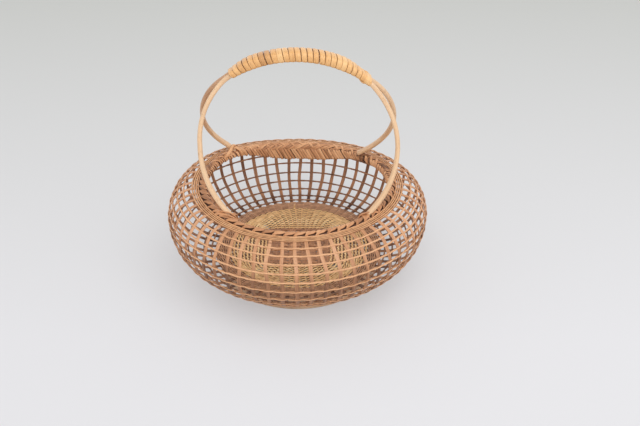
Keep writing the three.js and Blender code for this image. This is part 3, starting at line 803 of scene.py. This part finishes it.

# The stakes' bent ends fill the braid. Their dark tone is painted shade, seen in the gaps between the
# strands
CORE_OUT, CORE_IN, CORE_SHADE = -1.1, -2.6, -2.4
core = Weave()
angle = ring_angles(4)
w = np.linspace(0.02, 0.97, 16)
outside = np.stack([rim_point(x, angle, CORE_OUT)[0] for x in w], 1)
inside = np.stack([rim_point(x, angle, CORE_IN)[0] for x in w[::-1]], 1)
rings = np.concatenate([outside, inside], 1)[:, ::-1]
section = np.column_stack([np.arange(2 * len(w)), np.zeros(2 * len(w))])
core.skin(rings, rings[:, 0], section, CORE_SHADE, True)
core.build("rim_core", BRAID, ["rim_braid"])

# The foot hoop: one broad strip whose ends lap at the back and are thinned there. Its top is darker with
# painted shade, under the base
HOOP_T, HOOP_TOP_SHADE = 1.7, 1.1
HOOP_START, HOOP_LAP, HOOP_STEPS = 96, 32, 280
foot = Weave()
hoop_end = 360 + HOOP_LAP
angle = np.linspace(0, hoop_end, HOOP_STEPS)
a = np.radians(angle + HOOP_START)
radius = FOOT_R - 2.1 + 1.05 * smoothstep(angle, 40, 130)
path = np.column_stack([radius * np.cos(a), radius * np.sin(a), np.full(len(a), FOOT_H / 2)])
out = np.column_stack([np.cos(a), np.sin(a), np.zeros(len(a))])
thin = 1 - 0.5 * smoothstep(angle, hoop_end - 20, hoop_end) - 0.5 * (1 - smoothstep(angle, 0, 24))
section = flat_section(FOOT_H - 0.2, HOOP_T, 0.6, 0.1)
tone = -HOOP_TOP_SHADE * smoothstep(section[:, 0], -FOOT_H / 2, 2)[None, :]
foot.strand(path, out, section, tone, thick=thin)
foot.build("foot_hoop", FOOT, ["foot_ring"])


# The handle
SPREAD_H = ARCH_H + CROWN_H * math.cos(math.radians(GRIP_REACH))
# Between these heights the rods narrow towards the grip, by the share PINCH
PINCH, ROD_GAP, LEG_STEPS = 0.16, 0.3, 60
PINCH_LOW, PINCH_HIGH = (ARCH_H + CROWN_H * math.cos(math.radians(a)) for a in (62, 46))


def leg_path(foot):
    """The middle of a leg, from the crown to its end in the rim."""
    angle, radius, offset, end, dive = FEET[foot]
    tuck = place(radius, angle, TUCK_H, 1.0)
    arch = ARCH_H + CROWN_H * np.cos(np.radians(np.linspace(0, 90, LEG_STEPS)))
    height = np.concatenate([arch, np.linspace(ARCH_H, end, LEG_STEPS)[1:]])
    drop = np.clip((SPREAD_H - height) / (SPREAD_H - ARCH_H), 0, 1)
    reach = ARCH_R + offset * drop
    turn = np.arccos(abs(tuck[0]) / reach)
    rise = np.where(height > ARCH_H, CROWN_H, (ARCH_H - tuck[2]) / np.sin(turn))
    x = reach * np.sqrt(np.maximum(0, 1 - ((height - ARCH_H) / rise) ** 2))
    half = (ROD_W + ROD_GAP) / 2 * (1 - PINCH * smoothstep(height, PINCH_LOW, PINCH_HIGH))
    spread = soft_ramp((SPREAD_H + 4 - height) / (SPREAD_H - tuck[2]))
    y = half + (abs(tuck[1]) - half) * spread
    sunk = height - dive * (1 - smoothstep(height, end, end + 11)) ** 1.5
    return np.column_stack([math.copysign(1, tuck[0]) * x, math.copysign(1, tuck[1]) * y, sunk])


def squared_section(width, thick, sides=18):
    """An ellipse pressed a little towards a rectangle."""
    a = 2 * np.pi * (np.arange(sides) + 0.5) / sides
    x, y = (np.sign(v) * np.abs(v) ** 0.8 for v in (np.cos(a), np.sin(a)))
    return np.column_stack([x * width / 2, y * thick / 2])


def rod(name, left, right, node, tones):
    """A rod from one foot to another. Its tones run from the left foot to the right one."""
    path = np.concatenate([leg_path(left)[::-1], leg_path(right)[1:]])
    n = len(path)
    path[:, 1] += wobble(n, 6, 0.25, closed=False)
    along = unit(np.gradient(path, axis=0))
    across = unit(np.array([0, 1.0, 0]) - along * along[:, 1:2])
    out = np.cross(across, along)
    widths = 1 + wobble(n, 9, 0.02, closed=False)
    tone = np.interp(np.linspace(0, 1, n), np.linspace(0, 1, len(tones)), tones)[:, None]
    piece = Weave()
    pinched = widths * (1 - PINCH * smoothstep(path[:, 2], PINCH_LOW, PINCH_HIGH))
    piece.strand(path, out, squared_section(ROD_W, ROD_T), tone, wide=pinched, thick=widths)
    piece.build(name, ROD, [node])


rod("front_rod", "front_left", "front_right", "handle_rod_front", (0.3, 0.4, 0.1, 0.1, 0.1, 0.2, 0.1))
rod("back_rod", "back_left", "back_right", "handle_rod_back", (0.2, -0.5, -0.9, 0, 0.1, -0.2, -0.2))


def grip_frame(angle):
    """Points of the arch and their upward directions, by the angle from the crown."""
    a = np.radians(angle)
    zero = np.zeros(len(a))
    centre = np.column_stack([ARCH_R * np.sin(a), zero, ARCH_H + CROWN_H * np.cos(a)])
    along = unit(np.column_stack([ARCH_R * np.cos(a), zero, -CROWN_H * np.sin(a)]))
    return centre, np.column_stack([-along[:, 2], zero, along[:, 0]])


# The bound section, seen along the grip: flat below, crowned above, as width and height
HALF_W = 9.3
BOUND_LINE = np.array([
    (0, -3.75), (6.2, -3.7), (8.6, -2.6), (HALF_W, 0.2), (HALF_W, 3.6), (8.2, 5.8), (5.4, 6.9), (0, 7.4),
    (-5.4, 6.9), (-8.2, 5.8), (-HALF_W, 3.6), (-HALF_W, 0.2), (-8.6, -2.6), (-6.2, -3.7), (0, -3.75)])
BOUND_CURVE = smooth_line(BOUND_LINE, 6)
BOUND_RUN = np.concatenate([[0], np.cumsum(np.linalg.norm(np.diff(BOUND_CURVE, axis=0), axis=1))])
BOUND_RUN /= BOUND_RUN[-1]


def grip_end(angle):
    """0 along the grip, and 1 at its two ends, where the binding tapers."""
    return smoothstep(np.abs(angle), 25, 42)


def bind(angle, loops, lift=0.0):
    """A point round the grip after so many loops, with its outward direction."""
    centre, up = grip_frame(angle)
    spot, before, after = (
        np.column_stack([np.interp((loops + d) % 1, BOUND_RUN, BOUND_CURVE[:, i]) for i in (0, 1)])
        for d in (0, -0.01, 0.01))
    run = after - before
    normal = unit(np.column_stack([run[:, 1], -run[:, 0]]))
    end = grip_end(angle)
    spot = spot * np.column_stack([1 - 0.14 * end, 1 - np.where(spot[:, 1] > 0, 0.45, 0.15) * end])
    spot = spot + normal * np.reshape(lift, (-1, 1))
    point = centre + up * spot[:, 1:]
    point[:, 1] += spot[:, 0]
    out = up * normal[:, 1:]
    out[:, 1] += normal[:, 0]
    return point, out


# The wrap: one strip in close loops, each a little askew and with a tone of its own
WRAP_LOOPS, LOOP_STEPS = 25, 42
WRAP_FROM, WRAP_TO = -39.8, 42.4
WRAP_W, WRAP_T, WRAP_GAP = 6.0, 0.95, 0.22

loops = np.linspace(0, WRAP_LOOPS, WRAP_LOOPS * LOOP_STEPS + 1)
knots = np.arange(WRAP_LOOPS + 1)
angle = WRAP_FROM + (WRAP_TO - WRAP_FROM) * loops / WRAP_LOOPS
angle += np.interp(loops, knots, rng.normal(0, 0.12, WRAP_LOOPS + 1))
point, out = bind(angle, loops + 0.1)
tone = np.interp(loops, knots, rng.normal(0.1, 0.35, WRAP_LOOPS + 1))
wrap = Weave()
section = flat_section(WRAP_W, WRAP_T, 0.4, 0.3)
a = np.radians(angle)
pitch = np.radians(WRAP_TO - WRAP_FROM) / WRAP_LOOPS * np.hypot(ARCH_R * np.cos(a), CROWN_H * np.sin(a))
width = (pitch - WRAP_GAP) / WRAP_W * (1 + np.interp(loops, knots, rng.normal(0, 0.02, WRAP_LOOPS + 1)))
# Painted shade along each turn's edges, in the creases between the turns
tone = tone[:, None] + edged_tone(0, section, 1.3)
wrap.strand(point, out, section, tone, wide=width)
wrap.build("grip_binding", WRAP, ["grip_wrap"])

# The splint: a flat filler over the rods, under the wrap, thinner towards its ends
SPLINT_W, SPLINT_T, SPLINT_LIFT = 12, 2.4, 2.9
splint = Weave()
angle = np.linspace(-40, 43, 40)
centre, up = grip_frame(angle)
thick = SPLINT_T * (1 - 0.9 * smoothstep(np.abs(angle), 22, 38))[:, None]
path = centre + up * (SPLINT_LIFT + thick / 2)
splint.strand(path, up, flat_section(SPLINT_W, 1.0, 0.4), thick=thick)
splint.build("grip_filler", ROD, ["grip_splint"])


# The tie: the last turns lean more and more, and the end is tucked through in a knot underneath
def last_turns(weave):
    """The turns past the wrap's end, leaning away from it."""
    loops = np.linspace(0.1, 1.95, 96)
    angle = 43.3 + 1.5 * (loops - 0.1) + 0.7 * np.cos(2 * np.pi * loops)
    point, out = bind(angle, loops, 0.35 - 0.45 * np.linspace(0, 1, len(loops)))
    weave.strand(point, out, flat_section(6.2, 1.1, 0.45, 0.25), 0.55)


def knot(weave):
    """A thick lump over the last turns, thin and half sunk at both ends."""
    angle, loops = np.linspace(40.2, 46.8, 28), np.linspace(0.93, 1.03, 28)
    point, out = bind(angle, loops, 2.1 * np.sin(np.linspace(0.1, 3.04, 28)) - 0.2)
    swell = 0.7 + 0.5 * np.sin(np.linspace(0, np.pi, 28))
    section = flat_section(5.4, 2.2, 0.8, 0.4)
    weave.strand(point, out, section, 0.2, wide=swell, thick=swell)


def tucked_end(weave):
    """The strip's end, a short flat piece."""
    lift = 0.5 + 0.5 * np.sin(np.linspace(0, np.pi, 12))
    point, out = bind(np.linspace(41.2, 43.6, 12), np.full(12, 0.42), lift)
    weave.strand(point, out, flat_section(3.0, 1.2, 0.5, 0.2), 0.1)


tie = Weave()
last_turns(tie)
knot(tie)
tucked_end(tie)
tie.build("grip_knot", WRAP, ["grip_tie"])


# Lashings at the handle's feet: strands of the braid that pass over and under the rods' ends. Their
# outward side is away from a line through the rim's core
HUB_R, HUB_H = 111.5, 108.5
STRAP_T = 1.2


def strap(weave, angle, points, width, tone):
    """A strand round the rim's core, through points given as turns from the foot's angle, radius
    and height."""
    line = smooth_line(np.array(points, float), 8)
    around = angle + line[:, 0]
    path = place(line[:, 1], around, line[:, 2], 1.0)
    out = unit(path - place(HUB_R, around, HUB_H, 1.0))
    weave.strand(path, out, flat_section(width, STRAP_T, 0.5, 0.25), tone)


def lash(foot, material, straps):
    """The straps of one foot, each given as its width, its tone and its points."""
    weave = Weave()
    for width, tone, points in straps:
        strap(weave, FEET[foot][0], points, width, tone)
    weave.build(f"lash_{foot}", material, [f"lashing_{foot}"])


def hitch(side, inner, low, top=112.6):
    """A turn round a rod's end and the lip, hidden in the braid above and outside."""
    return [(side, 112, low), (side, 115, low + 2), (side, 116, 109), (side, 114, 111.6), (side, 110, top),
            (side, inner + 1.5, top + 0.6), (side, inner, 109.5), (side, inner + 1.2, low + 1),
            (side, 107.5, low - 0.4), (side, 112, low)]


lash("front_left", BRAID, [
    (4.2, 0.2, [(-9, 113.5, 112.6), (-7, 112, 114.6), (-4, 108.5, 115.6), (-0.5, 105.2, 115.4),
                (3, 103.4, 113.4), (4.5, 103.6, 110), (4.5, 106, 107)]),
    (3.8, 0.3, [(-7, 115.5, 111.8), (-5, 114, 114), (-1, 110.5, 115), (3.5, 107.6, 114.4),
                (6.5, 106.4, 111.5), (7, 107, 108)]),
    (3.0, -0.2, hitch(0.5, 98.2, 106.2)),
    (3.0, -0.3, hitch(2.2, 98.4, 106.4))])
lash("front_right", BRAID, [
    (3.4, 0.1, [(-4.5, 104.5, 108), (-4, 104, 111.5), (-2, 105.8, 114.6), (1.5, 109.5, 115.6),
                (5, 113.5, 114), (7, 115.5, 111.5)]),
    (3.0, -0.1, hitch(-0.8, 102.0, 106.2)),
    (3.0, -0.3, hitch(-2.4, 102.0, 106.4))])
lash("back_left", SHOULDER, [
    (3.4, 0.5, [(5.5, 113, 119.5), (7.4, 110.4, 122.6), (10, 108.2, 122.2), (12.6, 106.4, 119.6),
                (15, 106, 116.4), (16.6, 107.4, 113.6), (17, 109.6, 112.4)]),
    (3.4, 0.0, [(8.5, 111, 116.5), (10.5, 108.4, 118.4), (12.6, 106.8, 116.2), (14.2, 106.8, 113),
                (14.8, 109, 111.4)]),
    (3.8, 0.3, [(9.5, 112, 117), (8, 109.2, 119.4), (6, 107, 118.4), (4.2, 105.8, 114.5),
                (2.6, 105.7, 110), (1.8, 106.8, 106.6), (1.6, 109, 105.8)]),
    (3.2, -0.3, [(6.5, 112, 115.5), (5, 109, 117.2), (3, 107, 115.4), (1, 106, 111.5),
                 (-0.5, 106.4, 107.5)])])
lash("back_right", BRAID, [
    (3.0, -1.2, [(-5, 105.2, 112.2), (-6.5, 105.0, 114), (-8.5, 106.4, 115.2), (-11, 109.2, 115.6),
                 (-14, 112.6, 114.4), (-16, 115.2, 112)]),
    (2.6, -0.9, hitch(-7.6, 105.4, 104.3, 111.8)),
    (2.4, -1.3, hitch(-10.4, 105.8, 104.9, 111.8))])


# Camera, floor, world and light: places and sizes in metres, the lens and its sensor in millimetres
LENS, SENSOR = 53.44, 36.0
CAMERA_SPOT, CAMERA_TILT = (0.02681, -0.96555, 0.6940), 57.19
FLOOR_SIZE = 14
# The floor's tone near the camera and far from it, each with its distance behind the basket's middle.
# Far off it is darker: painted falloff of the light
FLOOR_NEAR, FLOOR_FAR = (-0.15, (0.72, 0.715, 0.73, 1)), (1.0, (0.57, 0.575, 0.55, 1))
# The share of the floor's own light that the camera sees, inside the foot hoop and outside it, each with
# its distance from the middle. The small share inside is painted shade under the basket
GLOW = 1.1
GLOW_IN, GLOW_OUT = (0.07, 0.1), (0.1, 0.42)
# The world's light at the horizon and high up, each with the height of its direction
HORIZON, ZENITH = (0.0, (1.45, 1.46, 1.48, 1)), (0.8, (0.62, 0.625, 0.635, 1))
SKY_STRENGTH = 0.98
KEY_SPOT, KEY_SIZE, KEY_POWER = (0.35, -0.75, 1.6), (2.0, 1.6), 16
KEY_TARGET = (0, 0, 0.1)


def add_camera():
    """The photograph's view."""
    data = bpy.data.cameras.new("camera")
    data.sensor_width = SENSOR
    data.sensor_fit = "HORIZONTAL"
    data.lens = LENS
    data.clip_end = 50
    camera = bpy.data.objects.new("camera", data)
    camera.location = CAMERA_SPOT
    camera.rotation_euler = (math.radians(CAMERA_TILT), 0, 0)
    bpy.context.scene.collection.objects.link(camera)
    bpy.context.scene.camera = camera


def add_floor():
    """A pale floor that the basket shades softly: part of what the camera sees is its own light."""
    bpy.ops.mesh.primitive_plane_add(size=FLOOR_SIZE, location=(0, 0, 0))
    floor = bpy.context.object
    floor.name = "floor"
    material = bpy.data.materials.new("floor")
    n = Nodes(material)
    here = n.add("ShaderNodeTexCoord", {}).outputs["Object"]
    back = n.add("ShaderNodeSeparateXYZ", {0: here}).outputs["Y"]
    along = n.map_range(back, FLOOR_NEAR[0], FLOOR_FAR[0], 0.0, 1.0)
    shade = n.ramp(along, [(0.0, FLOOR_NEAR[1]), (1.0, FLOOR_FAR[1])])
    n.put(shade, n.shader.inputs["Base Color"])
    n.put(0.9, n.shader.inputs["Roughness"])
    glow = n.add("ShaderNodeEmission", {"Color": shade, "Strength": GLOW}).outputs[0]
    ray = n.add("ShaderNodeLightPath", {}).outputs
    seen = n.math("MAXIMUM", ray["Is Camera Ray"], ray["Is Glossy Ray"])
    away = n.add("ShaderNodeVectorMath", {0: here}, operation="LENGTH").outputs["Value"]
    share = n.math("MULTIPLY", seen, n.map_range(away, GLOW_IN[0], GLOW_OUT[0], GLOW_IN[1], GLOW_OUT[1]))
    mix = n.add("ShaderNodeMixShader", {0: share, 1: n.shader.outputs[0], 2: glow}).outputs[0]
    n.put(mix, n.tree.nodes["Material Output"].inputs["Surface"])
    floor.data.materials.append(material)


def add_world():
    """Even light from all round, brighter from the sides than from above."""
    world = bpy.data.worlds.new("studio")
    bpy.context.scene.world = world
    n = Nodes(world, "Background")
    way = n.add("ShaderNodeTexCoord", {}).outputs["Generated"]
    upward = n.add("ShaderNodeSeparateXYZ", {0: way}).outputs["Z"]
    n.put(n.ramp(upward, [HORIZON, ZENITH]), n.shader.inputs["Color"])
    n.put(SKY_STRENGTH, n.shader.inputs["Strength"])


def add_key():
    """A broad light from the front, on the right and above."""
    data = bpy.data.lights.new("key", "AREA")
    data.shape = "RECTANGLE"
    data.size, data.size_y = KEY_SIZE
    data.energy = KEY_POWER
    light = bpy.data.objects.new("key", data)
    light.location = KEY_SPOT
    aim = np.array(KEY_TARGET) - np.array(KEY_SPOT)
    light.rotation_euler = (
        math.acos(-aim[2] / np.linalg.norm(aim)), 0, math.atan2(aim[1], aim[0]) - math.pi / 2)
    bpy.context.scene.collection.objects.link(light)


add_camera()
add_floor()
add_world()
add_key()
bpy.context.scene.view_settings.view_transform = "Standard"
